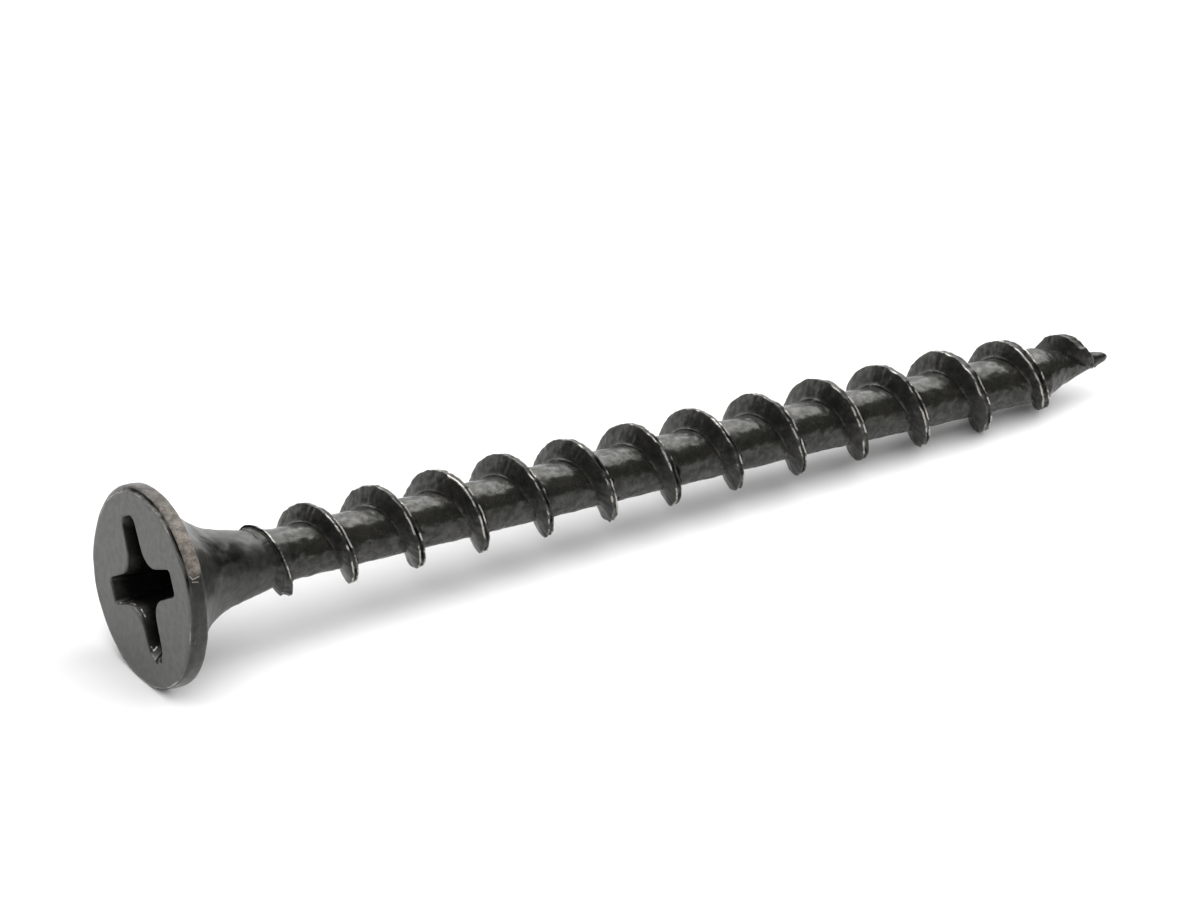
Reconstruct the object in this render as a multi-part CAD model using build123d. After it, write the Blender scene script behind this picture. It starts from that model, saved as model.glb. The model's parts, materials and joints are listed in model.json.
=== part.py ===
"""Wood screw, 3.5 x 45 mm: bugle head with a cross recess, coarse right-hand thread, gimlet point.

Frame, in millimetres: the origin is the centre of the head's flat top, +X runs along the axis from the
head to the point, and +Z is up for a screw that lies on a table. The screw is one piece of steel, and
every sub-part is one formed zone of it: the zones meet face to face, without gaps or overlaps.
"""

import math
import os

from build123d import *

# Places along the axis where one zone ends and the next begins
HEAD_END = 3.5
NECK_END = 6.0
POINT_START = 41.4
LENGTH = 44.8

# Head: flat top, bevelled edge, thin rim and a trumpet-shaped underside that levels out into the core
HEAD_RADIUS = 4.0
FACE_RADIUS = 3.77
RIM_FRONT = 0.12
RIM_END = 0.6
RIM_BACK = 0.68
RIM_BACK_RADIUS = 3.93
FLARE_LENGTH = 1.6
FLARE_POINTS = 9

# Cross recess for a number 2 driver, turned as the screw lies
RECESS_SPANS = (5.6, 5.15)
RECESS_WING_WIDTH = 1.16
RECESS_THROAT_FILLET = 0.5
RECESS_FLOOR_SPAN = 2.5
RECESS_FLOOR_WIDTH = 0.84
RECESS_FLOOR_FILLET = 0.2
RECESS_WALL_DEPTH = 2.3
RECESS_TIP_DEPTH = 2.75
RECESS_TURN = 61.0

# Core and point
CORE_RADIUS = 1.06
TIP_RADIUS = 0.18

# Thread: one right-hand start with a trapezoidal flight, whose crest is on top of the axis at CREST_X_ON_TOP
THREAD_RADIUS = 1.82
PITCH = 2.94
CREST_WIDTH = 0.24
ROOT_WIDTH = 0.76
CREST_X_ON_TOP = 7.675
START_X = 4.4
START_CREST_RADIUS = 1.33
FULL_THREAD_START = 6.2
FULL_TURNS = 10
FULL_THREAD_END = 38.6
POINT_CREST_X = 42.75
POINT_CREST_RADIUS = 1.33
END_X = 43.8
END_CREST_RADIUS = 0.66
LOFT_STEP = 10


def at(x, radius):
    """The point of a half profile at that place along the axis and that radius."""
    return (x, 0, radius)


def turned(*edges):
    """The solid of revolution about X of a half profile, which is closed along the axis."""
    closing = Line(edges[-1] @ 1, edges[0] @ 0)
    return revolve(make_face([*edges, closing]), Axis.X)


def between(points, x):
    """The value at x of a line through (x, value) points, level beyond its ends."""
    for (x0, value0), (x1, value1) in zip(points, points[1:]):
        if x <= x1:
            share = max(x - x0, 0) / (x1 - x0)
            return value0 + share * (value1 - value0)
    return points[-1][1]


def trumpet_radius(x):
    """The underside's radius, which dies away from the rim to the core and reaches it at NECK_END."""
    left_over = math.exp((RIM_BACK - NECK_END) / FLARE_LENGTH)
    flare = (math.exp((RIM_BACK - x) / FLARE_LENGTH) - left_over) / (1 - left_over)
    return CORE_RADIUS + (RIM_BACK_RADIUS - CORE_RADIUS) * flare


def trumpet_curve(start, end):
    """The stretch of the underside's profile between two places along the axis."""
    step = (end - start) / (FLARE_POINTS - 1)
    places = [start + step * count for count in range(FLARE_POINTS)]
    return Spline(*[at(x, trumpet_radius(x)) for x in places])


def body_radius(x):
    """The radius of the neck, the core or the point, without the thread."""
    if x < NECK_END:
        return trumpet_radius(x)
    return between([(POINT_START, CORE_RADIUS), (LENGTH, TIP_RADIUS)], x)


def crest_radius(x):
    """The radius of the flight's crest, which rises at the neck, runs level and falls at the point."""
    crest = [
        (START_X, START_CREST_RADIUS),
        (FULL_THREAD_START, THREAD_RADIUS),
        (FULL_THREAD_END, THREAD_RADIUS),
        (POINT_CREST_X, POINT_CREST_RADIUS),
        (END_X, END_CREST_RADIUS),
    ]
    return between(crest, x)


def recess_section(depth, spans, width, throat_fillet):
    """The cross at one depth: two crossed bars, with rounded throats between the wings."""
    plane = Plane(origin=(depth, 0, 0), x_dir=(0, 1, 0), z_dir=(1, 0, 0))
    cross = Rectangle(spans[0], width) + Rectangle(width, spans[1])
    throats = cross.vertices().sort_by(lambda corner: Vector(corner.X, corner.Y).length)[:4]
    return plane * Rot(0, 0, RECESS_TURN) * fillet(throats, throat_fillet)


def recess():
    """The driver recess: walls and wing ends that slope in to a ledge, and a conical floor."""
    floor_spans = (RECESS_FLOOR_SPAN, RECESS_FLOOR_SPAN)
    mouth = recess_section(0, RECESS_SPANS, RECESS_WING_WIDTH, RECESS_THROAT_FILLET)
    ledge = recess_section(RECESS_WALL_DEPTH, floor_spans, RECESS_FLOOR_WIDTH, RECESS_FLOOR_FILLET)
    walls = loft([mouth, ledge], ruled=True)
    overlap_x = RECESS_WALL_DEPTH / 2
    cone_radius = RECESS_FLOOR_WIDTH / 2
    cone = turned(
        Line(at(overlap_x, 0), at(overlap_x, cone_radius)),
        Line(at(overlap_x, cone_radius), at(RECESS_WALL_DEPTH, cone_radius)),
        Line(at(RECESS_WALL_DEPTH, cone_radius), at(RECESS_TIP_DEPTH, 0)),
    )
    return walls + cone


def bugle_head():
    """The head down to its neck, with the recess punched in."""
    blank = turned(
        Line(at(0, 0), at(0, FACE_RADIUS)),
        Line(at(0, FACE_RADIUS), at(RIM_FRONT, HEAD_RADIUS)),
        Line(at(RIM_FRONT, HEAD_RADIUS), at(RIM_END, HEAD_RADIUS)),
        Line(at(RIM_END, HEAD_RADIUS), at(RIM_BACK, RIM_BACK_RADIUS)),
        trumpet_curve(RIM_BACK, HEAD_END),
        Line(at(HEAD_END, trumpet_radius(HEAD_END)), at(HEAD_END, 0)),
    )
    return blank - recess()


def neck():
    """The rest of the trumpet, from the head down to the thread's core."""
    return turned(
        Line(at(HEAD_END, 0), at(HEAD_END, trumpet_radius(HEAD_END))),
        trumpet_curve(HEAD_END, NECK_END),
        Line(at(NECK_END, CORE_RADIUS), at(NECK_END, 0)),
    )


def thread_core():
    """The straight core that the thread winds round."""
    return turned(
        Line(at(NECK_END, 0), at(NECK_END, CORE_RADIUS)),
        Line(at(NECK_END, CORE_RADIUS), at(POINT_START, CORE_RADIUS)),
        Line(at(POINT_START, CORE_RADIUS), at(POINT_START, 0)),
    )


def gimlet_point():
    """The core's conical end, with a small flat at its tip."""
    return turned(
        Line(at(POINT_START, 0), at(POINT_START, CORE_RADIUS)),
        Line(at(POINT_START, CORE_RADIUS), at(LENGTH, TIP_RADIUS)),
        Line(at(LENGTH, TIP_RADIUS), at(LENGTH, 0)),
    )


def flight_section(x):
    """The flight's section in the half plane through the axis where its crest is at x."""
    half_crest = CREST_WIDTH / 2
    flank = (ROOT_WIDTH - CREST_WIDTH) / 2 / (THREAD_RADIUS - CORE_RADIUS)
    feet = []
    for side in (-1, 1):
        foot = x + side * half_crest
        for _ in range(20):
            height = crest_radius(x) - body_radius(foot)
            foot = x + side * (half_crest + flank * height)
        feet.append(at(foot, body_radius(foot)))
    crest = [at(x + side * half_crest, crest_radius(x)) for side in (1, -1)]
    section = make_face(Polyline(feet[0], feet[1], *crest, close=True))
    return Rot(360 * (x - CREST_X_ON_TOP) / PITCH, 0, 0) * section


def tapered_flight(start, end):
    """The flight between two places along the axis, with its changing height, lofted along the helix."""
    steps = round(360 * (end - start) / PITCH / LOFT_STEP)
    return loft([flight_section(start + (end - start) * step / steps) for step in range(steps + 1)])


def full_flight(start, turns):
    """The flight at its full height, swept along the helix for whole turns."""
    helix = Helix(PITCH, turns * PITCH, THREAD_RADIUS)
    path = Plane(origin=(start, 0, 0), x_dir=(0, 0, 1), z_dir=(1, 0, 0)) * helix
    return sweep(flight_section(start), path=path, is_frenet=True)


FULL_FLIGHT_END = CREST_X_ON_TOP + FULL_TURNS * PITCH

parts = {
    "bugle_head": bugle_head(),
    "neck": neck(),
    "thread_core": thread_core(),
    "gimlet_point": gimlet_point(),
    "starting_flight": tapered_flight(START_X, CREST_X_ON_TOP),
    "thread_flight": full_flight(CREST_X_ON_TOP, FULL_TURNS),
    "point_flight": tapered_flight(FULL_FLIGHT_END, END_X),
}

os.makedirs("parts", exist_ok=True)
for name, part in parts.items():
    export_step(part, f"parts/{name}.step")
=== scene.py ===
"""Looks of a black phosphated wood screw, 3.5 x 45 mm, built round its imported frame.

The row frame has its origin at the centre of the head's flat top, +X towards the point and +Z up. Each
CAD node gets one closed mesh that stands for it. Shapes are worked out in millimetres and turned into
metres when a mesh is made. Angles about the axis are in degrees from +Y towards +Z, so the top is at 90.
Every random value is a hash of a place and a seed, so each run gives the same shapes.
"""

import json
import math
from types import SimpleNamespace

import bpy
import numpy as np
from mathutils import Matrix, Vector


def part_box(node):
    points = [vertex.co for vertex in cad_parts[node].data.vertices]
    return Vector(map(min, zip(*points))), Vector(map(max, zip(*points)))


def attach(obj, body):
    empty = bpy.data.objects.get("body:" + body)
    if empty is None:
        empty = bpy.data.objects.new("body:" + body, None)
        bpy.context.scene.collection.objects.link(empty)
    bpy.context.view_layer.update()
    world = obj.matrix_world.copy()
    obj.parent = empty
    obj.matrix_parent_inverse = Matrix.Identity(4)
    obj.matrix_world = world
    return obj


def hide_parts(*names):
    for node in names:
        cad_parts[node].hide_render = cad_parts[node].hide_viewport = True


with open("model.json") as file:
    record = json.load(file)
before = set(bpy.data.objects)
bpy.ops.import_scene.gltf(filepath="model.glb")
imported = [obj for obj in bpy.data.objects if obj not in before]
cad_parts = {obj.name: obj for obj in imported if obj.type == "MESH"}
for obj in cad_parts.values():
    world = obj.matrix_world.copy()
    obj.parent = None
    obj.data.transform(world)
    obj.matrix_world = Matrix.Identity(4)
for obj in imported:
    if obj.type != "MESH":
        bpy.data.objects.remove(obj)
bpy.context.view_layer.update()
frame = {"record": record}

MM = 0.001


def node_mm(name):
    """Lowest and highest corner of a CAD node, in millimetres."""
    low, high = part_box(name)
    return np.array(low) / MM, np.array(high) / MM


# Sizes from the frame
HEAD_LOW, HEAD_HIGH = node_mm("bugle_head")
HEAD_RADIUS = HEAD_HIGH[2]
HEAD_END = HEAD_HIGH[0]
NECK_END = node_mm("neck")[1][0]
CORE_RADIUS = node_mm("thread_core")[1][2]
POINT_START = node_mm("thread_core")[1][0]
LENGTH = node_mm("gimlet_point")[1][0]
THREAD_RADIUS = node_mm("thread_flight")[1][2]

# Head: its face, its rim and the trumpet under it
FACE_RADIUS = 3.755
RIM_BACK = 0.68
RIM_BACK_RADIUS = 3.93
FLARE_LENGTH = 1.6
NECK_SWELL = 0.1
NECK_SWELL_X = 4.3
NECK_SWELL_REACH = 1.4

# The painted shade on the near side of the neck: its middle, and how far off it is gone and is full
NECK_SHADE_X = 3.1
NECK_SHADE_X_REACH = (1.5, 0.4)
NECK_SHADE_ANGLE = 136.0
NECK_SHADE_ANGLE_REACH = (48, 12)
NECK_SHADE_DEPTH = 0.8

# Thread
PITCH = 2.94
CREST_X_ON_TOP = 7.675
FULL_TURNS = 10
FULL_END = CREST_X_ON_TOP + FULL_TURNS * PITCH

# The crest's radius along the axis: it climbs out of the neck and runs out on the point
CREST_LINE = [
    (4.3, 1.25), (4.55, 1.4), (5.2, 1.44), (6.2, 1.77), (7.7, 1.72), (9.2, 1.79),
    (10.6, THREAD_RADIUS), (38.6, THREAD_RADIUS),
    (40.0, 1.66), (41.5, 1.47), (42.8, 1.33), (43.4, 0.98), (43.8, 0.52), (43.95, 0.33),
]
CREST_START = CREST_LINE[0][0]
CREST_END = CREST_LINE[-1][0]

# The point's radius along the axis
POINT_LINE = [
    (POINT_START, CORE_RADIUS), (42.3, 0.74), (43.6, 0.42),
    (44.3, 0.28), (44.6, 0.2), (44.74, 0.12), (LENGTH, 0.04),
]

# How far the core and the whole point lie off the axis, both towards the same side
CORE_OFFSET = 0.055
CORE_OFFSET_END = 43.2
SAG = 0.1
SAG_START = 29.0
SAG_END = 40.5
SAG_ANGLE = 245.0

# The dents of the rolled metal as (weight, size, seed), deeper towards the point
DENTS = ((1.2, 0.55, 11), (1.2, 0.27, 12), (0.55, 0.13, 13))
DENT_DEPTH = 0.014
DEEPER_DENTS = 0.8
DEEPER_DENTS_X = (36, 41)


# ---------------------------------------------------------------- noise
# Each call of bumps or rough gives the size of its bumps in millimetres and a seed of its own.


def lattice(cells, seed):
    """A fixed random value from -1 to 1 for each whole-number cell."""
    keys = cells.astype(np.int64).astype(np.uint64)
    mixed = keys[..., 0] * np.uint64(73856093) ^ keys[..., 1] * np.uint64(19349663)
    mixed ^= keys[..., 2] * np.uint64(83492791) ^ np.uint64(seed * 2654435761)
    mixed ^= mixed >> np.uint64(13)
    mixed *= np.uint64(0x9E3779B97F4A7C15)
    mixed ^= mixed >> np.uint64(29)
    return (mixed % np.uint64(65536)).astype(float) / 32767.5 - 1


def bumps(points, cell, seed):
    """Smooth random bumps from -1 to 1 with that cell size, at points of shape (..., 3)."""
    scaled = np.asarray(points, float) / cell + 1000
    base = np.floor(scaled)
    share = scaled - base
    share = share * share * (3 - 2 * share)
    total = 0
    for corner in np.ndindex(2, 2, 2):
        weight = np.prod(np.where(corner, share, 1 - share), axis=-1)
        total = total + weight * lattice(base + corner, seed)
    return total


def rough(points, cell, seed, octaves=3):
    """Bumps at several sizes, each half as large and a bit over half as strong as the one before."""
    return sum(0.55**k * bumps(points, cell / 2**k, seed + k) for k in range(octaves))


def ramp(value, start, end):
    """A smooth rise from 0 at start to 1 at end; start may lie above end."""
    share = np.clip((value - start) / (end - start), 0, 1)
    return share * share * (3 - 2 * share)


# ---------------------------------------------------------------- shapes along the axis


def between(points, x):
    """Piecewise straight line through (x, value) points."""
    places, values = zip(*points)
    return np.interp(x, places, values)


def trumpet_radius(x):
    """The underside of the head dies away from the rim to the core, and reaches it at NECK_END."""
    left_over = math.exp((RIM_BACK - NECK_END) / FLARE_LENGTH)
    flare = (np.exp((RIM_BACK - np.minimum(x, NECK_END)) / FLARE_LENGTH) - left_over) / (1 - left_over)
    return CORE_RADIUS + (RIM_BACK_RADIUS - CORE_RADIUS) * flare


def body_radius(x):
    """The trumpet's, neck's, core's or point's radius, without the thread; the neck swells a little."""
    x = np.asarray(x)
    swell = NECK_SWELL * np.exp(-(((x - NECK_SWELL_X) / NECK_SWELL_REACH) ** 2))
    return np.where(x < NECK_END, trumpet_radius(x), between(POINT_LINE, x)) + swell


def on_axis(x, angle, radius):
    """Points at that place along the axis, that angle about it and that radius."""
    turn = np.radians(angle)
    x, turn, radius = np.broadcast_arrays(x, turn, radius)
    return np.stack([x, radius * np.cos(turn), radius * np.sin(turn)], axis=-1)


def apart(angle, other):
    """How many degrees lie between two directions about the axis."""
    return np.abs((angle - other + 180) % 360 - 180)


def hammered(points):
    """How far the rolled surface stands out at each point."""
    dents = sum(weight * bumps(points, size, seed) for weight, size, seed in DENTS)
    return DENT_DEPTH * dents * (1 + DEEPER_DENTS * ramp(points[..., 0], *DEEPER_DENTS_X))


def surface(x, angle, radius):
    """Points of a turned surface with the rolled metal's dents, each pushed straight out from the axis."""
    smooth = on_axis(x, angle, radius)
    return on_axis(x, angle, radius + hammered(smooth) * np.minimum(1, radius))


def sagged(points, offset=0.0):
    """The last third of the screw hangs a little out of line, and the core runs off centre by offset."""
    x = points[..., 0]
    off_centre = offset * ramp(x, RIM_BACK, NECK_END) * ramp(x, CORE_OFFSET_END, POINT_START)
    shift = SAG * ramp(x, SAG_START, SAG_END) + off_centre
    return points + shift[..., None] * on_axis(0.0, SAG_ANGLE, 1.0)


def neck_shade(points, angles):
    """How dark the uneven painted shade on the near side of the neck is at those points."""
    around = ramp(apart(angles, NECK_SHADE_ANGLE), *NECK_SHADE_ANGLE_REACH)
    near = around * ramp(np.abs(points[..., 0] - NECK_SHADE_X), *NECK_SHADE_X_REACH)
    return NECK_SHADE_DEPTH * near * np.clip(0.8 + rough(points, 0.6, 48), 0, 1)


# ---------------------------------------------------------------- mesh making

SHARP = math.radians(58)


def mesh_piece(name, points, faces, **layers):
    """A smooth-shaded object from points in millimetres, with a value for each point in each layer."""
    mesh = bpy.data.meshes.new(name)
    mesh.from_pydata((points.reshape(-1, 3) * MM).tolist(), [], faces)
    mesh.validate()
    mesh.shade_smooth()
    mesh.set_sharp_from_angle(angle=SHARP)
    for layer, values in layers.items():
        data = mesh.attributes.new(layer, "FLOAT", "POINT").data
        data.foreach_set("value", np.ascontiguousarray(values, np.float32).ravel())
    piece = bpy.data.objects.new(name, mesh)
    bpy.context.scene.collection.objects.link(piece)
    return piece


def tube_faces(rings, around):
    """Quads of a tube through rings, and a face over each end."""
    index = np.arange(rings * around).reshape(rings, around)
    after = np.roll(index, -1, axis=1)
    quads = np.stack([index[:-1], after[:-1], after[1:], index[1:]], axis=-1).reshape(-1, 4).tolist()
    return quads + [index[0][::-1].tolist(), index[-1].tolist()]


def tube_piece(name, rings, **layers):
    """A closed tube from an array of rings, shape (rings, around, 3)."""
    count, around = rings.shape[:2]
    return mesh_piece(name, rings, tube_faces(count, around), **layers)


# ---------------------------------------------------------------- neck, core and point

BODY_AROUND = 120
BODY_STEP = 0.08
POINT_STEP = 0.05


def body_piece(name, start, end, step=BODY_STEP):
    """The screw's body between two places along the axis, without the thread."""
    xs = np.linspace(start, end, round((end - start) / step) + 1)
    angles = np.arange(BODY_AROUND) * 360 / BODY_AROUND
    grid_x, grid_angle = np.meshgrid(xs, angles, indexing="ij")
    rings = surface(grid_x, grid_angle, body_radius(grid_x))
    # Painted shade on the near side of the neck
    return tube_piece(name, sagged(rings, CORE_OFFSET), shelter=neck_shade(rings, grid_angle))


# ---------------------------------------------------------------- the recess's outline

# Reach, width and corner radii of the wings, and the four throats between them
WING_REACH = (2.8, 2.575)
WING_HALF_WIDTH = 0.61
WING_CORNER = (0.42, 0.2)
THROAT_FILLETS = (0.8, 0.7, 1.0, 0.85)
ARC_POINTS = 9
RECESS_TURN = 61.0

# The wings narrow outwards, from that far beyond the throat
WING_TAPER = 0.15
TAPER_START = 0.5
TAPER_LENGTH = 1.7

# Folds of metal at the end of the wing opposite the first
OUTLINE_LENGTH = 19.0
FOLD_WIDTH = 0.4
FOLD_COUNT = 2
RIDGE_REACH = (0.25, 0.05)
RIDGE_MARGIN = 0.2


def rotated(points, turn):
    """The (y, z) points turned by that many radians."""
    return points @ [[math.cos(turn), math.sin(turn)], [-math.sin(turn), math.cos(turn)]]


def wing_quadrant(fillet, reach, corner, next_reach, next_corner):
    """Half a wing, the throat beside it and half of the next wing, as (along, across) points."""
    width = WING_HALF_WIDTH
    arc = np.radians(np.linspace(0, 90, ARC_POINTS))
    middle = width + fillet
    part = [(reach, 0.0)]
    part += [(reach - corner * (1 - math.cos(t)), width - corner * (1 - math.sin(t))) for t in arc]
    part += [(middle - fillet * math.sin(t), middle - fillet * math.cos(t)) for t in arc]
    part += [
        (width - next_corner * (1 - math.cos(t)), next_reach - next_corner * (1 - math.sin(t))) for t in arc
    ]
    return np.array(part)


def contour(count):
    """The recess's outline as (y, z) points, evenly spaced, from the middle of the first wing's end."""
    outline = []
    for quadrant, fillet in enumerate(THROAT_FILLETS):
        here, there = quadrant % 2, 1 - quadrant % 2
        near_wing = WING_REACH[here], WING_CORNER[here]
        next_wing = WING_REACH[there], WING_CORNER[there]
        part = wing_quadrant(fillet, *near_wing, *next_wing)
        outline += rotated(part, quadrant * math.pi / 2).tolist()
    outline = np.array(outline + outline[:1])
    lengths = np.concatenate([[0], np.cumsum(np.hypot(*np.diff(outline, axis=0).T))])
    places = np.linspace(0, lengths[-1], count, endpoint=False)
    points = np.stack([np.interp(places, lengths, outline[:, k]) for k in (0, 1)], axis=-1)
    along = np.abs(points).max(axis=1)
    outward = np.clip((along - WING_HALF_WIDTH - TAPER_START) / TAPER_LENGTH, 0, 1)
    narrow = np.abs(points).argmin(axis=1)
    points[np.arange(count), narrow] *= 1 - WING_TAPER * outward
    return points


def fold_phase(count):
    """How many folds each point of the outline lies from the middle of the wing opposite the first."""
    return (np.arange(count) - count / 2) * OUTLINE_LENGTH / count / FOLD_WIDTH


def fold_teeth(count):
    """How deep the folds of metal cut in at each point, from 0 to 1."""
    phase = fold_phase(count)
    return (1 - np.abs(phase % 1 * 2 - 1)) * (np.abs(phase) < FOLD_COUNT / 2)


def fold_ridges(count):
    """1 along the sharp ridges between and beside the folds, falling to 0 away from them."""
    phase = fold_phase(count)
    beside = np.abs(phase - np.round(phase + FOLD_COUNT / 2) + FOLD_COUNT / 2)
    return ramp(beside, *RIDGE_REACH) * (np.abs(phase) < FOLD_COUNT / 2 + RIDGE_MARGIN)


def fold_shade(count):
    """1 in the hollows of the folds, 0 on their ridges and outside them."""
    inside = np.abs(fold_phase(count)) < FOLD_COUNT / 2
    return inside * (1 - fold_ridges(count))


# ---------------------------------------------------------------- the recess's walls

RECESS_DEPTH = 2.3
RECESS_TIP_DEPTH = 2.75
RECESS_FLOOR_SHARE = 0.45
RECESS_TIP_SHARE = 0.12
MOUTH_ROUND = 0.07

# The wall's rings lie closer together towards the mouth
WALL_RINGS = 25
WALL_CROWDING = 1.6
WALL_MARKS = 0.02
WALL_MARKS_STRETCH = [0.25, 1, 1]
# Painted shade that darkens the recess's walls with depth
WALL_SHADE = 0.2
WALL_SHADE_DEPTH = 0.75

# The folds cut in that deep, and die away between these depths; their ridges are worn near the mouth
FOLD_DEPTH = 0.14
FOLD_END = (1.4, 0.7)
# Painted shade in the hollows of the folds
FOLD_SHADE = 0.7
RIDGE_WEAR = 0.35
RIDGE_WEAR_END = (0.8, 0.3)
MOUTH_RIDGE_WEAR = 0.15

# The mouth's rounded edge: turns in degrees and the wear at each
MOUTH_TURNS = (18, 36, 54, 72, 90)
MOUTH_WEAR = (0.1, 0.25, 0.35, 0.25, 0.1)
# Painted sheen: the mouth's edge is painted paler like the face
MOUTH_PAINTED_SHEEN = 0.5


def at_depth(depth, section):
    """Points of a section at that depth under the face."""
    return np.column_stack([np.full(len(section), depth), section])


def recess_rows(mouth):
    """Rings from the recess's tip up to its rounded mouth, each with its layers."""
    count = len(mouth)
    floor = mouth * RECESS_FLOOR_SHARE
    outward = mouth / np.hypot(*mouth.T)[:, None]
    teeth = fold_teeth(count)[:, None]
    ridges = fold_ridges(count)
    hollow = fold_shade(count)
    # Painted shade: the recess's tip is painted fully dark
    rows = [(at_depth(RECESS_TIP_DEPTH, floor * RECESS_TIP_SHARE), {"shelter": 1.0})]
    for share in 1 - np.linspace(1, 0, WALL_RINGS + 1)[:-1] ** WALL_CROWDING:
        depth = MOUTH_ROUND + (RECESS_DEPTH - MOUTH_ROUND) * (1 - share)
        fold = teeth * FOLD_DEPTH * ramp(depth, *FOLD_END)
        ring = at_depth(depth, floor + (mouth - floor) * share + outward * fold)
        marks = WALL_MARKS * rough(ring * WALL_MARKS_STRETCH, 0.3, 31)
        ring[:, 1:] += outward * marks[:, None]
        # Painted shade: darker with depth and in the hollows of the folds
        shelter = np.clip(WALL_SHADE + depth / WALL_SHADE_DEPTH + FOLD_SHADE * hollow, 0, 1)
        wear = RIDGE_WEAR * ridges * ramp(depth, *RIDGE_WEAR_END)
        rows.append((ring, {"shelter": shelter, "wear": wear}))
    for turn, wear in zip(np.radians(MOUTH_TURNS), MOUTH_WEAR):
        section = mouth + outward * (teeth * FOLD_DEPTH + MOUTH_ROUND * (1 - math.cos(turn)))
        ring = at_depth(MOUTH_ROUND * (1 - math.sin(turn)), section)
        worn = wear * (1 - hollow) + MOUTH_RIDGE_WEAR * ridges
        # Painted shade in the folds' hollows at the mouth
        rows.append((ring, {"wear": worn, "painted_sheen": MOUTH_PAINTED_SHEEN, "shelter": hollow * (1 - wear)}))
    return rows


# ---------------------------------------------------------------- face and rim

# The creased stretch of the rim, where the upset metal stands off the face behind a groove
CREASE_MIDDLE = 112.0
CREASE_REACH = 36.0
CREASE_FADE = 14.0

# The fuller stretch of the rim's front edge, low on the far side
WIDE_MIDDLE = 280.0
WIDE_REACH = 60.0
WIDE_FADE = 50.0
WIDE_EXTRA = 0.17
OUT_OF_ROUND = 0.06

# The rim's front as (x, radius) where it is creased and where it is smooth, with the layers of both
CREASED_RIM = [
    (0.0, 3.755), (0.015, 3.785), (0.11, 3.795), (0.16, 3.835), (0.115, 3.89), (0.075, 3.93),
    (0.085, 3.965), (0.12, 3.99), (0.18, 4.0),
]
SMOOTH_RIM = [
    (0.0, 3.755), (0.01, 3.79), (0.025, 3.825), (0.045, 3.86), (0.07, 3.89), (0.095, 3.92),
    (0.125, 3.95), (0.165, 3.98), (0.22, 4.0),
]
RIM_WEAR = (0.5, 0.2, 0.0, 0.0, 0.0, 0.2, 0.3, 0.2, 0.0)
# Painted shade in the crease's groove, row by row
RIM_GROOVE_SHADE = (0.0, 0.4, 1.0, 1.0, 0.6, 0.1, 0.0, 0.0, 0.0)
# Painted sheen: the rim's front is painted paler towards the face
RIM_PAINTED_SHEEN = (1.0, 0.8, 0.5, 0.2, 0.1, 0.1, 0.1, 0.1, 0.1)

# The rim's band and back edge, the same all round
RIM_BAND = [(0.3, 4.0), (0.4, 4.0), (0.5, 4.0), (0.57, 4.0), (0.62, 3.985), (0.66, 3.965), (0.68, 3.93)]
RIM_BAND_WEAR = (0.0, 0.0, 0.0, 0.0, 0.2, 0.4, 0.2)
# A little painted sheen on the band
RIM_BAND_PAINTED_SHEEN = 0.1

# Unevenness of the rim: its waves and chips, and the torn lips of the crease up to TORN_END
RIM_WAVE = 0.012
RIM_CHIP = 0.05
RIM_CHIP_START = 0.35
TORN_END = 0.2
TORN_WAVE = 0.035
TORN_NOTCH = 0.1
TORN_NOTCH_START = 0.25

# The brown stretch of the rim on its upper side, a brownish tint made bright as a painted highlight,
# stronger towards its lower end, and the stretch worn most
BROWN_SHEEN_START = (38.0, 54.0)
BROWN_SHEEN_END = (151.0, 145.0)
BROWN_SHEEN_LEAST = 0.45
BROWN_SHEEN_GROWS = (85, 125)
WORN_MIDDLE = 250.0
WORN_REACH = (45, 15)
WORN_MORE = 1.2

FACE_RINGS = 18
FACE_WAVE = 0.003


def crease(angles):
    """1 where the rim is creased, falling to 0 round the rest."""
    return ramp(apart(angles, CREASE_MIDDLE), CREASE_REACH + CREASE_FADE, CREASE_REACH)


def widened(angles):
    """1 where the rim's front edge is fuller, falling to 0 round the rest."""
    return ramp(apart(angles, WIDE_MIDDLE), WIDE_REACH + WIDE_FADE, WIDE_REACH)


def within_box(points):
    """The points, none of them outside the CAD head's box."""
    return np.clip(points, (0.0, *HEAD_LOW[1:]), HEAD_HIGH)


def rim_ring(angles, creased, smooth):
    """One ring of the rim, between its creased and its smooth profile."""
    share = crease(angles)
    wide = widened(angles)
    x = smooth[0] + (creased[0] - smooth[0]) * share
    radius = smooth[1] + (creased[1] - smooth[1]) * share
    radius = radius + WIDE_EXTRA * wide * (HEAD_RADIUS - radius) / (HEAD_RADIUS - FACE_RADIUS)
    radius = radius + OUT_OF_ROUND * wide
    points = on_axis(x, angles, radius)
    wave = 0.5 + 0.5 * rough(points, 1.7, 41)
    chips = np.maximum(0, bumps(points, 0.33, 45) - RIM_CHIP_START)
    low = (RIM_WAVE * wave + RIM_CHIP * chips) * (1 - wide)
    notches = np.maximum(0, bumps(points, 0.6, 49) - TORN_NOTCH_START)
    torn = share * (x < TORN_END) * (TORN_WAVE * rough(points, 0.5, 46) + TORN_NOTCH * notches)
    uneven_x = x + RIM_WAVE * (1 + bumps(points, 0.5, 44)) + torn
    return within_box(on_axis(uneven_x, angles, radius - low - torn))


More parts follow.
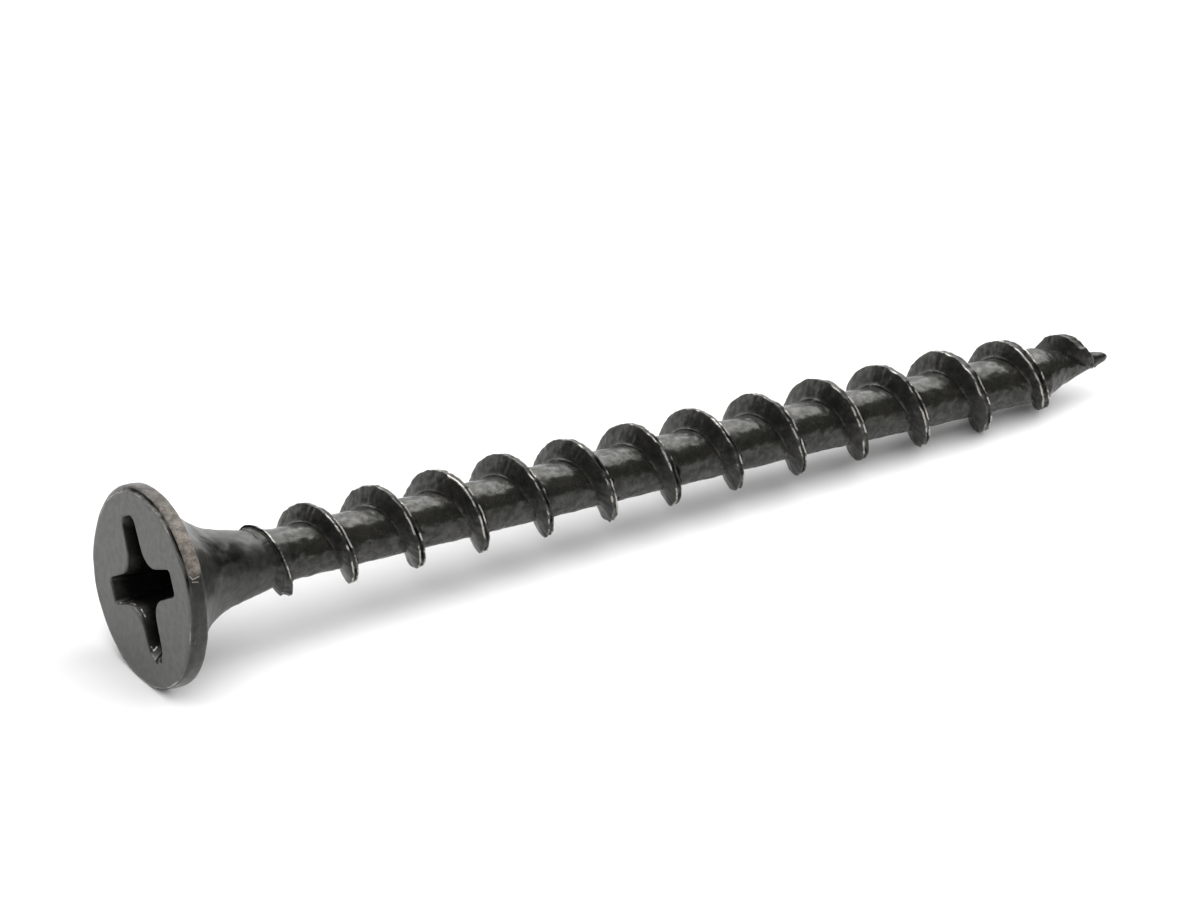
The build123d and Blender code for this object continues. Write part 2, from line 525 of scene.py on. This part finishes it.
def face_rows(inner, even):
    """Rings of the flat face, whose points even out from the recess's mouth to the round edge."""
    inner_radius = np.hypot(*inner.T)
    angles = np.degrees(np.unwrap(np.arctan2(inner[:, 1], inner[:, 0])))
    face_edge = FACE_RADIUS + (WIDE_EXTRA + OUT_OF_ROUND) * widened(even)
    rows = []
    for share in np.linspace(0, 1, FACE_RINGS + 2)[1:-1]:
        radius = inner_radius + (face_edge - inner_radius) * share
        ring = on_axis(0.0, angles + (even - angles) * share, radius)
        ring[:, 0] = FACE_WAVE * (1 + bumps(ring, 1.2, 51)) * math.sin(math.pi * share)
        # Painted sheen: the face is painted paler, standing in for the floor's reflection it catches
        rows.append((ring, {"painted_sheen": 1.0}))
    return rows


def rim_rows(even):
    """Rings from the face's edge over the rim to the start of the trumpet."""
    turn = even % 360
    # Brownish tint with a painted highlight on the rim's upper side
    brown_and_sheen = ramp(turn, *BROWN_SHEEN_START) * ramp(turn, *BROWN_SHEEN_END)
    brown_and_sheen = brown_and_sheen * (BROWN_SHEEN_LEAST + (1 - BROWN_SHEEN_LEAST) * ramp(turn, *BROWN_SHEEN_GROWS))
    worn = 1 + WORN_MORE * ramp(apart(even, WORN_MIDDLE), *WORN_REACH)
    # Patchy strength of the painted shade in the rim's crease
    crease_shade_patches = np.clip(0.85 + 0.6 * rough(on_axis(0.0, even, FACE_RADIUS), 0.7, 47), 0.4, 1)
    rows = []
    for creased, smooth, wear, groove, painted_sheen in zip(CREASED_RIM, SMOOTH_RIM, RIM_WEAR, RIM_GROOVE_SHADE, RIM_PAINTED_SHEEN):
        layers = {
            "wear": wear * worn,
            "shelter": groove * crease(even) * crease_shade_patches,
            "painted_sheen": painted_sheen,
            "brown_and_sheen": brown_and_sheen * (1 - painted_sheen),
        }
        rows.append((rim_ring(even, creased, smooth), layers))
    for place, wear in zip(RIM_BAND, RIM_BAND_WEAR):
        rows.append((rim_ring(even, place, place), {"wear": wear, "painted_sheen": RIM_BAND_PAINTED_SHEEN, "brown_and_sheen": brown_and_sheen}))
    return rows


# ---------------------------------------------------------------- head

HEAD_AROUND = 400
HEAD_LAYERS = ("wear", "shelter", "painted_sheen", "brown_and_sheen")

# The trumpet's rings lie closer together towards the rim, and its dents fade in over a short way behind it
TRUMPET_RINGS = 36
TRUMPET_CROWDING = 1.5
TRUMPET_FADE = 0.15
TRUMPET_MARKS = 0.014
TRUMPET_MARKS_STRETCH = [0.3, 1, 1]
TRUMPET_CLEARANCE = 0.04


def forged(x, angles, radius, strength):
    """A ring of the trumpet under the head, with the marks of the heading die near the rim."""
    smooth = on_axis(x, angles, radius)
    marks = TRUMPET_MARKS * rough(smooth * TRUMPET_MARKS_STRETCH, 0.55, 71) * strength
    marks = marks * ramp(x, NECK_END, RIM_BACK)
    radius = np.minimum(radius + (marks + hammered(smooth)) * strength, HEAD_RADIUS - TRUMPET_CLEARANCE)
    return sagged(on_axis(x, angles, radius), CORE_OFFSET)


def trumpet_rows(even):
    """Rings of the trumpet from behind the rim to the neck."""
    shares = np.linspace(0, 1, TRUMPET_RINGS + 1)[1:] ** TRUMPET_CROWDING
    rows = []
    for x in RIM_BACK + (HEAD_END - RIM_BACK) * shares:
        ring = forged(x, even, body_radius(x), ramp(x, RIM_BACK, RIM_BACK + TRUMPET_FADE))
        # Painted shade on the near side of the neck
        rows.append((ring, {"shelter": neck_shade(ring, even)}))
    return rows


def head_piece(name):
    """The head, as one tube of rings from the recess's tip over the face and the rim to the neck."""
    mouth = rotated(contour(HEAD_AROUND), math.radians(RECESS_TURN))
    rows = recess_rows(mouth)
    inner = rows[-1][0][:, 1:]
    first = math.degrees(math.atan2(inner[0, 1], inner[0, 0]))
    even = first + np.arange(HEAD_AROUND) * 360 / HEAD_AROUND
    rows += face_rows(inner, even) + rim_rows(even) + trumpet_rows(even)
    layers = {}
    for layer in HEAD_LAYERS:
        values = [np.broadcast_to(row_layers.get(layer, 0.0), HEAD_AROUND) for _, row_layers in rows]
        layers[layer] = np.array(values)
    rings = np.array([ring for ring, _ in rows])
    layers["wear"] = layers["wear"] * np.clip(0.75 + 1.1 * rough(rings, 0.45, 61), 0, 1.6)
    return tube_piece(name, rings, **layers)


# ---------------------------------------------------------------- thread

SECTION_STEP = 2.0

# A flight's section: half its crest's width, its flanks' lean, the rows up each flank as shares of its
# height, and the share of the body's radius that its foot is sunk to
HALF_CREST = 0.14
FLANK_SLOPE = 0.34
FLANK_SHARES = (0.18, 0.29, 0.41, 0.53, 0.65, 0.77, 0.88)
EMBEDDED = 0.86
LEAST_HEIGHT = 0.02

# The foot's fillets towards the point and towards the head, and the metal piled up there round PILE_ANGLE
FAR_FILLET = 0.07
NEAR_FILLET = 0.01
PILE = 0.01
PILE_ANGLE = 50.0
PILE_FACING = (0.3, 0.85)

# The crest's two lips and the seam between them, which is open towards SEAM_ANGLE
LIP = 0.07
LIP_WAVE = 0.016
FAR_LIP_DROP = 0.035
SEAM_ANGLE = 195.0
SEAM_FACING = (-0.3, 0.5)
SEAM_LEAST = 0.3
SEAM_DEPTH = 0.085
SEAM_DEPTH_SHARE = 0.6

# The first turn starts late, with a single lip and a flank that leans far out, and is split at SPLIT_X
START_DELAY = 0.38
START_REACH = 0.5
START_REACH_HEIGHT = 0.15
START_NARROWER = 0.6
START_NARROWER_X = (5.7, 5.0)
SINGLE_LIP_X = (6.7, 5.3)
SINGLE_LIP_FALL = (0.05, 0.25)
SPLIT_X = 6.0
SPLIT_LENGTH = 0.35
SPLIT_WIDTH = 0.08
SPLIT_DEPTH = 0.02

# Towards the point the crest gets wider, and it tapers where it ends
END_WIDER = 0.35
END_WIDER_X = (35.0, 40.0)
END_TAPER = 0.7
END_TAPER_X = (43.2, 43.9)

# Unevenness of the crest's height, width and course, and of the flanks
CREST_WAVE = 0.026
CREST_NICKS = 0.022
WIDTH_WAVE = 0.02
SWAY = 0.02
FLANK_WAVE = 0.016
FLANK_GRAIN = 0.005
FLANK_MORE_GRAIN = 0.012
FLANK_GRAIN_FACING = (0.2, 0.9)

# The worn lips are brighter near the two ends of the thread, and dark where it starts and stops
WEAR_LEAST = 0.35
WEAR_NEAR_HEAD = 0.45
WEAR_NEAR_HEAD_X = (17, 10)
WEAR_NEAR_POINT = 0.3
WEAR_NEAR_POINT_X = (33, 38)
WEAR_START_X = (4.5, 5.3)
WEAR_END_X = (42.9, 42.0)
WEAR_SINGLE_LIP = 0.35
WEAR_BROKEN = 1.6

# Painted shade in the far side's corner, fainter on a low flight and on the single lip
PAINTED_SHADE_HEIGHT = (0.05, 0.45)
PAINTED_SHADE_SINGLE_LIP = 0.8


def facing(angle, direction):
    """From 1 for an angle in that direction about the axis to -1 for the opposite one."""
    return np.cos(np.radians(angle - direction))


def flight_course(start, end):
    """A flight's course between two places of its crest, and how its section changes along it."""
    steps = round(360 * (end - start) / PITCH / SECTION_STEP)
    xs = np.linspace(start, end, steps + 1)
    angle = 90 + 360 * (xs - CREST_X_ON_TOP) / PITCH
    crest = between(CREST_LINE, xs)
    xs = xs + START_DELAY * ramp(xs, SPLIT_X, CREST_START)
    along = on_axis(xs, angle, crest)
    top = crest + CREST_WAVE * bumps(along, 0.3, 81) + CREST_NICKS * bumps(along, 0.13, 82)
    xs = xs + SWAY * bumps(along, 0.9, 83)
    split = np.exp(-(((xs - SPLIT_X) / SPLIT_LENGTH) ** 2))
    single = ramp(xs, *SINGLE_LIP_X)
    half = HALF_CREST + WIDTH_WAVE * bumps(along, 0.8, 84) + SPLIT_WIDTH * split
    half = half * (1 - START_NARROWER * ramp(xs, *START_NARROWER_X))
    half = half * (1 + END_WIDER * ramp(xs, *END_WIDER_X))
    half = half * (1 - END_TAPER * ramp(xs, *END_TAPER_X))
    base = body_radius(xs)
    height = np.maximum(top - base, LEAST_HEIGHT)
    seam = SEAM_LEAST + (1 - SEAM_LEAST) * ramp(facing(angle, SEAM_ANGLE), *SEAM_FACING)
    seam = np.clip(0.75 + 0.8 * bumps(along, 0.7, 85), 0.1, 1) * seam * (1 - single)
    groove = np.minimum(SEAM_DEPTH * seam, SEAM_DEPTH_SHARE * height) + SPLIT_DEPTH * split
    fall = single * (SINGLE_LIP_FALL[0] + SINGLE_LIP_FALL[1] * height)
    return SimpleNamespace(
        x=xs, angle=angle, along=along, half=half, base=base, top=top, height=height,
        single=single, seam=seam, groove=groove, fall=fall,
    )


def flank_rows(course, fillet, slope, drop, lip):
    """A half section's rows from its foot to its seam, as (offset, radius, wear, shelter)."""
    height, top, half, base = course.height - drop, course.top - drop, course.half, course.base
    foot = half + slope * height
    # The last value of each row is painted shade: darkest at the sunk foot, fading up the flank, and in the
    # seam's groove
    rows = [
        (foot + 3 * fillet, base * EMBEDDED, 0.0, 1.0),
        (foot + 0.02 + 2.4 * fillet, base - 0.01, 0.0, 0.5),
        (foot + 0.01 + fillet, base + 0.01 + 0.4 * fillet, 0.0, 0.7),
        (foot - 0.01, base + 0.03 + fillet, 0.0, 0.9),
    ]
    for share in FLANK_SHARES:
        offset = half + slope * height * (1 - share)
        rows.append((offset, base + height * share, 0.0, 0.4 * (1 - share) ** 2))
    rows += [
        (half, top - 0.035 + lip, 0.35, 0.0),
        (half - 0.012, top - 0.008 + lip, 1.0, 0.0),
        (half - 0.03, top + lip, 1.0, 0.0),
        (half - LIP, top - 0.01 + lip, 0.7, 0.0),
        (half - LIP - 0.015, top - 0.6 * course.groove, 0.1, 0.6),
    ]
    return rows


def lip_wear(course, missing, seed):
    """How worn a lip is along its course, in bright and dark stretches, and 0 where the lip is missing."""
    xs = course.x
    bright = WEAR_LEAST + WEAR_NEAR_HEAD * ramp(xs, *WEAR_NEAR_HEAD_X)
    bright = bright + WEAR_NEAR_POINT * ramp(xs, *WEAR_NEAR_POINT_X)
    ends = ramp(xs, *WEAR_START_X) * ramp(xs, *WEAR_END_X) * (1 - WEAR_SINGLE_LIP * course.single)
    broken = np.clip(bright + WEAR_BROKEN * rough(course.along, 0.35, seed), 0.1, 1.5)
    return broken * (1 - missing) * ends


def near_half(course, seed):
    """Rows of the flight's side towards the head, with a small fillet and no lip on the first turn."""
    uneven = np.clip(0.9 + bumps(course.along, 0.5, seed + 4), 0.1, 2)
    fillet = (NEAR_FILLET + PILE * ramp(facing(course.angle, PILE_ANGLE), *PILE_FACING)) * uneven
    slope = FLANK_SLOPE + course.single * START_REACH / np.maximum(course.height, START_REACH_HEIGHT)
    lip = LIP_WAVE * bumps(course.along, 0.35, seed) * course.seam
    worn = lip_wear(course, course.single, seed + 1)
    rows = flank_rows(course, fillet, slope, course.fall, lip)
    return [(-offset, radius, wear * worn, 0.0) for offset, radius, wear, _ in rows]


def far_half(course, seed):
    """Rows of the flight's side towards the point, with a large fillet and a slightly lower lip."""
    uneven = np.clip(0.9 + bumps(course.along, 0.5, seed + 4), 0.1, 2)
    fillet = FAR_FILLET * uneven * (1 - course.single)
    lip = LIP_WAVE * bumps(course.along, 0.35, seed) * course.seam
    worn = lip_wear(course, 0.0, seed + 1)
    rows = flank_rows(course, fillet, FLANK_SLOPE, FAR_LIP_DROP * (1 - course.single), lip)
    return [(offset, radius, wear * worn, shelter) for offset, radius, wear, shelter in rows]


def flight_piece(name, start, end):
    """The flight between two places of its crest along the axis, as one tube of sections."""
    course = flight_course(start, end)
    # The seam's middle gets painted shade as strong as the seam is open
    middle = (0.0, course.top - course.fall / 2 - course.groove, 0.0, course.seam)
    rows = [*near_half(course, 90), middle, *far_half(course, 93)[::-1]]
    layers = ([np.broadcast_to(value, course.x.shape) for value in values] for values in zip(*rows))
    offset, radius, wear, shelter = (np.stack(values, axis=1) for values in layers)
    points = on_axis(course.x[:, None] + offset, course.angle[:, None], radius)
    # Patchy painted shade, fainter on a low flight and on the single lip
    cover = ramp(course.height, *PAINTED_SHADE_HEIGHT) * (1 - PAINTED_SHADE_SINGLE_LIP * course.single)
    shelter = shelter * cover[:, None] * np.clip(0.75 + 1.2 * rough(points, 0.4, 96), 0.1, 1.2)
    flank = ramp(radius, CORE_RADIUS * 0.95, CORE_RADIUS + 0.15)
    grain = FLANK_GRAIN + FLANK_MORE_GRAIN * ramp(facing(course.angle, PILE_ANGLE), *FLANK_GRAIN_FACING)
    uneven = FLANK_WAVE * rough(points, 0.45, 97) + grain[:, None] * bumps(points, 0.13, 99)
    points[..., 0] += uneven * flank
    return tube_piece(name, sagged(points), wear=wear, shelter=shelter)


# ---------------------------------------------------------------- shader nodes


def put(tree, kind, inputs, **settings):
    """A new shader node with its settings made and its inputs set or linked."""
    node = tree.nodes.new("ShaderNode" + kind)
    for name, value in settings.items():
        setattr(node, name, value)
    for name, value in inputs.items():
        if isinstance(value, bpy.types.NodeSocket):
            tree.links.new(value, node.inputs[name])
        else:
            node.inputs[name].default_value = value
    return node


def calc(tree, operation, first, second):
    """The result of a maths operation on two values."""
    return put(tree, "Math", {0: first, 1: second}, operation=operation).outputs[0]


def clamped(tree, value):
    """The value, held between 0 and 1."""
    return put(tree, "Clamp", {"Value": value}).outputs[0]


def remap(tree, value, low, high, to_low=0.0, to_high=1.0):
    """A smooth step from to_low where the value is low to to_high where it is high."""
    inputs = {"Value": value, "From Min": low, "From Max": high, "To Min": to_low, "To Max": to_high}
    return put(tree, "MapRange", inputs, interpolation_type="SMOOTHSTEP").outputs[0]


def mix_colors(tree, factor, first, second):
    """The first colour, turning into the second as the factor rises from 0 to 1."""
    return put(tree, "Mix", {0: factor, 6: first, 7: second}, data_type="RGBA").outputs[2]


def noise(tree, place, scale, detail=3.0, roughness=0.55):
    """Cloudy noise from 0 to 1."""
    inputs = {"Vector": place, "Scale": scale, "Detail": detail, "Roughness": roughness}
    return put(tree, "TexNoise", inputs).outputs[0]


def attribute(tree, name):
    """The value of a mesh layer, 0 on a piece without it."""
    return put(tree, "Attribute", {}, attribute_name=name).outputs["Fac"]


def scratch(tree, place, start, end, width):
    """1 on a straight stroke between two points in millimetres, fading to 0 at its width."""
    start, end = Vector(start), Vector(end)
    along = end - start
    away = put(tree, "VectorMath", {0: place, 1: start}, operation="SUBTRACT").outputs[0]
    dot = put(tree, "VectorMath", {0: away, 1: along / along.length_squared}, operation="DOT_PRODUCT")
    share = clamped(tree, dot.outputs["Value"])
    nearest = put(tree, "VectorMath", {0: along, "Scale": share}, operation="SCALE").outputs[0]
    gap = put(tree, "VectorMath", {0: away, 1: nearest}, operation="DISTANCE").outputs["Value"]
    return remap(tree, gap, 0.4 * width, width, 1.0, 0.0)


# ---------------------------------------------------------------- black phosphate on steel

# Painted sheen: the paler grey of the face, the mouth and the rim's front
PAINTED_SHEEN_GREY = (0.062, 0.063, 0.061, 1)
# A brown tint brightened into a painted highlight on the rim's upper side
BAND_BROWN_AND_SHEEN = (0.165, 0.145, 0.125, 1)
RUSTY = (0.024, 0.020, 0.015, 1)
# Painted shade: the near-black colour that hollows and corners are darkened to
PAINTED_SHADE_BLACK = (0.002, 0.002, 0.002, 1)
BARE_METAL = (0.36, 0.345, 0.32, 1)
SPECULAR_TINT = (1.0, 0.99, 0.93, 1)
INDEX_OF_REFRACTION = 1.42


def surface_marks(tree):
    """The place in millimetres, and the noises of the surface there."""
    object_place = put(tree, "TexCoord", {}).outputs["Object"]
    place = put(tree, "VectorMath", {0: object_place, "Scale": 1 / MM}, operation="SCALE").outputs[0]
    patch = noise(tree, place, 3.2, 4.0, 0.6)
    fine = noise(tree, place, 13.0, 3.0, 0.65)
    return SimpleNamespace(
        place=place,
        cloud=noise(tree, place, 0.9),
        patch=patch,
        fine=fine,
        tone=calc(tree, "ADD", calc(tree, "MULTIPLY", patch, 0.65), calc(tree, "MULTIPLY", fine, 0.35)),
        crystal=put(tree, "TexVoronoi", {"Vector": place, "Scale": 21.0}).outputs["Distance"],
    )


def coat_color(tree, marks, dark, light):
    """The coat's colour: mottled, rusty in clouds, painted paler on the face as a painted sheen, and brown
    with a painted highlight on the rim's upper side.
    """
    color = mix_colors(tree, remap(tree, marks.tone, 0.36, 0.64), (*dark, 1), (*light, 1))
    color = mix_colors(tree, remap(tree, marks.cloud, 0.5, 0.75, 0.0, 0.35), color, RUSTY)
    painted_sheen = calc(tree, "MULTIPLY", attribute(tree, "painted_sheen"), remap(tree, marks.tone, 0.35, 0.65, 0.8, 1.0))
    color = mix_colors(tree, painted_sheen, color, PAINTED_SHEEN_GREY)
    brown_and_sheen = calc(tree, "MULTIPLY", attribute(tree, "brown_and_sheen"), remap(tree, marks.fine, 0.35, 0.6, 0.6, 1.0))
    brown_and_sheen = calc(tree, "MULTIPLY", brown_and_sheen, remap(tree, marks.patch, 0.35, 0.62, 0.45, 1.0))
    return mix_colors(tree, brown_and_sheen, color, BAND_BROWN_AND_SHEEN)


def bare(tree, marks, strokes):
    """1 where the metal shows bright: on worn edges, along the strokes and in a few specks."""
    wear = calc(tree, "MULTIPLY", attribute(tree, "wear"), remap(tree, marks.fine, 0.3, 0.55, 0.35, 1.0))
    for start, end, width in strokes:
        stroke = scratch(tree, marks.place, start, end, width)
        stroke = calc(tree, "MULTIPLY", stroke, remap(tree, marks.fine, 0.3, 0.5))
        wear = calc(tree, "MAXIMUM", wear, stroke)
    few = remap(tree, marks.patch, 0.5, 0.62, 0.0, 0.5)
    specks = calc(tree, "MULTIPLY", remap(tree, marks.crystal, 0.2, 0.05), few)
    return calc(tree, "MAXIMUM", remap(tree, wear, 0.15, 0.95), specks)


def coat_roughness(tree, marks, shelter, gloss, mottle):
    """The coat's roughness, uneven in patches and higher in the corners."""
    value = remap(tree, marks.patch, 0.3, 0.7, gloss + 0.15 * mottle, gloss - 0.15 * mottle)
    return calc(tree, "ADD", value, calc(tree, "MULTIPLY", shelter, 0.15))


def coat_shine(tree, marks, shelter, mottle):
    """How strongly the coat reflects: uneven in patches, weaker in the corners with painted shade, and
    weaker on the rim's brown, whose painted highlight stands in for the reflection.
    """
    shine = remap(tree, shelter, 0.0, 1.0, 0.5, 0.02)
    shine = calc(tree, "MULTIPLY", shine, remap(tree, marks.patch, 0.35, 0.65, 1 - mottle, 1 + mottle))
    return calc(tree, "MULTIPLY", shine, remap(tree, attribute(tree, "brown_and_sheen"), 0.0, 0.6, 1.0, 0.35))


def coat_relief(tree, marks, grain, blotches):
    """The normal of the coat's crystals, grain millimetres high, on blotches of that height."""
    relief = calc(tree, "ADD", marks.fine, calc(tree, "MULTIPLY", marks.crystal, 0.5))
    bump = put(tree, "Bump", {"Height": relief, "Distance": grain * MM, "Strength": 1.0})
    inputs = {"Height": marks.patch, "Distance": blotches * MM, "Normal": bump.outputs[0]}
    return put(tree, "Bump", inputs).outputs[0]


def phosphate(name, dark, light, grain, blotches, gloss, mottle, strokes=()):
    """Black phosphate on steel: mottled, fine-grained, with painted shade in its corners and worn bright on
    its edges.
    """
    material = bpy.data.materials.new(name)
    material.use_nodes = True
    tree = material.node_tree
    shader = tree.nodes["Principled BSDF"]
    marks = surface_marks(tree)
    shelter = clamped(tree, attribute(tree, "shelter"))
    wear = bare(tree, marks, strokes)
    # Painted shade: the colour turns near black, and the reflection weakens, in the hollows and corners the
    # layer marks
    shade = remap(tree, shelter, 0.0, 1.0, 0.0, 0.95)
    color = mix_colors(tree, shade, coat_color(tree, marks, dark, light), PAINTED_SHADE_BLACK)
    for socket, value in (
        ("Base Color", mix_colors(tree, wear, color, BARE_METAL)),
        ("Roughness", coat_roughness(tree, marks, shelter, gloss, mottle)),
        ("Metallic", calc(tree, "MULTIPLY", wear, 0.6)),
        ("Specular IOR Level", coat_shine(tree, marks, shelter, mottle)),
        ("Normal", coat_relief(tree, marks, grain, blotches)),
    ):
        tree.links.new(value, shader.inputs[socket])
    shader.inputs["Specular Tint"].default_value = SPECULAR_TINT
    shader.inputs["IOR"].default_value = INDEX_OF_REFRACTION
    return material


def on_rim(x, angle):
    """A point of the rim's band."""
    return on_axis(x, angle, HEAD_RADIUS)


# Scratches as (start, end, width)
HEAD_STROKES = [
    ((0.2, 0.36, -1.2), (0.2, 0.04, -1.355), 0.043),
    ((0.12, 1.9, -1.64), (0.2, 1.56, -1.48), 0.05),
    ((0.2, 1.56, -1.48), (0.45, 1.5, -1.4), 0.05),
    ((0.1, -0.66, -2.31), (0.15, -0.79, -2.44), 0.04),
    ((0.15, -0.79, -2.44), (0.3, -0.74, -2.32), 0.04),
    ((0.15, 1.15, -1.27), (0.15, 0.75, -1.18), 0.06),
    (on_rim(0.14, 148.6), on_rim(0.22, 150.6), 0.035),
    (on_rim(0.22, 150.6), on_rim(0.5, 149.8), 0.03),
    (on_rim(0.18, 152.0), on_rim(0.42, 152.6), 0.025),
]
FLANK_STROKES = [
    (on_axis(5.32, 188, 1.2), on_axis(5.74, 232, 1.62), 0.05),
    (on_axis(5.45, 196, 1.25), on_axis(5.8, 236, 1.5), 0.04),
    (on_axis(5.4, 176, 1.25), on_axis(5.66, 214, 1.45), 0.03),
]


# ---------------------------------------------------------------- the pieces

pieces = {
    "bugle_head": head_piece("head"),
    "neck": body_piece("neck_cone", HEAD_END, NECK_END),
    "thread_core": body_piece("core", NECK_END, POINT_START),
    "gimlet_point": body_piece("point", POINT_START, LENGTH, POINT_STEP),
    "starting_flight": flight_piece("first_turn", CREST_START, CREST_X_ON_TOP),
    "thread_flight": flight_piece("thread", CREST_X_ON_TOP, FULL_END),
    "point_flight": flight_piece("last_turns", FULL_END, CREST_END),
}
materials = {
    "head_phosphate": phosphate(
        "head_phosphate",
        dark=(0.0075, 0.008, 0.007),
        light=(0.013, 0.0135, 0.012),
        grain=0.0015,
        blotches=0.002,
        gloss=0.34,
        mottle=0.12,
        strokes=HEAD_STROKES,
    ),
    "body_phosphate": phosphate(
        "body_phosphate",
        dark=(0.0065, 0.007, 0.0055),
        light=(0.0115, 0.0113, 0.009),
        grain=0.0015,
        blotches=0.014,
        gloss=0.27,
        mottle=0.32,
    ),
    "thread_phosphate": phosphate(
        "thread_phosphate",
        dark=(0.006, 0.0065, 0.0053),
        light=(0.012, 0.012, 0.0105),
        grain=0.006,
        blotches=0.022,
        gloss=0.34,
        mottle=0.3,
        strokes=FLANK_STROKES,
    ),
}
slots = {row["node"]: row["material_slot"] for row in frame["record"]["subparts"]}
for node, piece in pieces.items():
    piece.data.materials.append(materials[slots[node]])
    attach(piece, "root")
    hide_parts(node)


# ---------------------------------------------------------------- floor

# The floor touches the rim and the sagging thread's lowest crest, at these places along the axis
RIM_CONTACT_X = 0.36
CREST_CONTACT_X = 38.545
CREST_CONTACT_RADIUS = 1.905
FLOOR_HALF_SIZE = 3.0
FLOOR_DARK = (0.79, 0.79, 0.79, 1)
FLOOR_LIGHT = (0.81, 0.81, 0.81, 1)
FLOOR_TOOTH_SCALE = 900.0


def floor_frame():
    """A point on the floor and its unit normal, in metres."""
    rim = Vector((RIM_CONTACT_X, 0, -HEAD_RADIUS)) * MM
    crest = Vector((CREST_CONTACT_X, 0, -CREST_CONTACT_RADIUS)) * MM
    along = (crest - rim).normalized()
    return rim, Vector((-along.z, 0, along.x))


def floor_material():
    """Matt white board with a very faint tooth."""
    material = bpy.data.materials.new("floor_white")
    material.use_nodes = True
    tree = material.node_tree
    shader = tree.nodes["Principled BSDF"]
    place = put(tree, "TexCoord", {}).outputs["Object"]
    shade = mix_colors(tree, noise(tree, place, FLOOR_TOOTH_SCALE), FLOOR_DARK, FLOOR_LIGHT)
    tree.links.new(shade, shader.inputs["Base Color"])
    shader.inputs["Roughness"].default_value = 0.9
    shader.inputs["Specular IOR Level"].default_value = 0.1
    return material


def make_floor():
    """A wide level board under the lying screw."""
    point, normal = floor_frame()
    size = FLOOR_HALF_SIZE
    corners = [(-size, -size, 0), (size, -size, 0), (size, size, 0), (-size, size, 0)]
    mesh = bpy.data.meshes.new("floor")
    mesh.from_pydata(corners, [], [(0, 1, 2, 3)])
    floor = bpy.data.objects.new("floor", mesh)
    bpy.context.scene.collection.objects.link(floor)
    floor.matrix_world = Matrix.Translation(point) @ normal.to_track_quat("Z", "Y").to_matrix().to_4x4()
    floor.data.materials.append(floor_material())


# ---------------------------------------------------------------- camera and lights

CAMERA_TARGET = (20.55, 0.0, 1.18)
CAMERA_AZIMUTH = -32.85
CAMERA_ELEVATION = 27.39
CAMERA_ROLL = 3.12
CAMERA_DISTANCE = 357.9
CAMERA_LENS = 272.65
CAMERA_SENSOR_WIDTH = 36
CAMERA_CLIP_START = 0.01
WORLD_COLOR = (0.05, 0.05, 0.05, 1)


def look(thing, place, target, up):
    """Puts a thing at place, facing target, with its own up near up."""
    back = (place - target).normalized()
    right = up.cross(back).normalized()
    turned = Matrix((right, back.cross(right), back)).transposed()
    thing.matrix_world = Matrix.Translation(place) @ turned.to_4x4()


def make_camera():
    """The scene's camera, at its angle and distance from CAMERA_TARGET."""
    camera = bpy.data.objects.new("camera", bpy.data.cameras.new("camera"))
    bpy.context.scene.collection.objects.link(camera)
    azimuth, elevation = math.radians(CAMERA_AZIMUTH), math.radians(CAMERA_ELEVATION)
    level = math.cos(elevation)
    back = Vector((math.sin(azimuth) * level, -math.cos(azimuth) * level, math.sin(elevation)))
    roll = math.radians(CAMERA_ROLL)
    target = Vector(CAMERA_TARGET) * MM
    look(camera, target + back * CAMERA_DISTANCE * MM, target, Vector((-math.sin(roll), 0, math.cos(roll))))
    camera.data.sensor_width = CAMERA_SENSOR_WIDTH
    camera.data.lens = CAMERA_LENS
    camera.data.clip_start = CAMERA_CLIP_START
    bpy.context.scene.camera = camera


def soft_panel(name, radiance, middle, toward, size, reflected):
    """A rectangle of even light that only shows in reflections, or only lights by diffuse rays."""
    light = bpy.data.lights.new(name, "AREA")
    light.shape = "RECTANGLE"
    light.size, light.size_y = size
    light.energy = radiance * math.pi * light.size * light.size_y
    panel = bpy.data.objects.new(name, light)
    bpy.context.scene.collection.objects.link(panel)
    look(panel, Vector(middle), Vector(middle) + Vector(toward), Vector((0, -toward[2], toward[1])))
    panel.visible_diffuse = not reflected
    panel.visible_glossy = reflected


def level_panel(name, radiance, height, left, right, far, near, reflected):
    """A level panel overhead; its far and near edges stand at those elevations, 0 behind and 180 ahead."""
    back, front = (height / math.tan(math.radians(angle)) for angle in (far, near))
    middle = ((left + right) / 2, (back + front) / 2, height)
    soft_panel(name, radiance, middle, (0, 0, -1), (right - left, back - front), reflected)


def rear_panel(name, radiance, height, left, right, far):
    """An upright panel behind, from the floor up to an overhead panel's edge at that elevation."""
    middle = ((left + right) / 2, height / math.tan(math.radians(far)), height / 2)
    soft_panel(name, radiance, middle, (0, -1, 0), (right - left, height), True)


def make_lights():
    """One panel that lights the floor, two that show in the metal, and a dim world."""
    level_panel(
        "floor_light", radiance=2.76, height=0.6, left=-0.8, right=1.3, far=65, near=157, reflected=False
    )
    level_panel(
        "overhead_sheen", radiance=5.2, height=0.5, left=-0.4, right=0.8, far=40, near=101, reflected=True
    )
    rear_panel("rear_sheen", radiance=1.8, height=0.5, left=-1.5, right=1.1, far=40)
    world = bpy.data.worlds.new("studio")
    world.use_nodes = True
    world.node_tree.nodes["Background"].inputs["Color"].default_value = WORLD_COLOR
    bpy.context.scene.world = world


make_floor()
make_camera()
make_lights()
bpy.context.scene.view_settings.view_transform = "Standard"
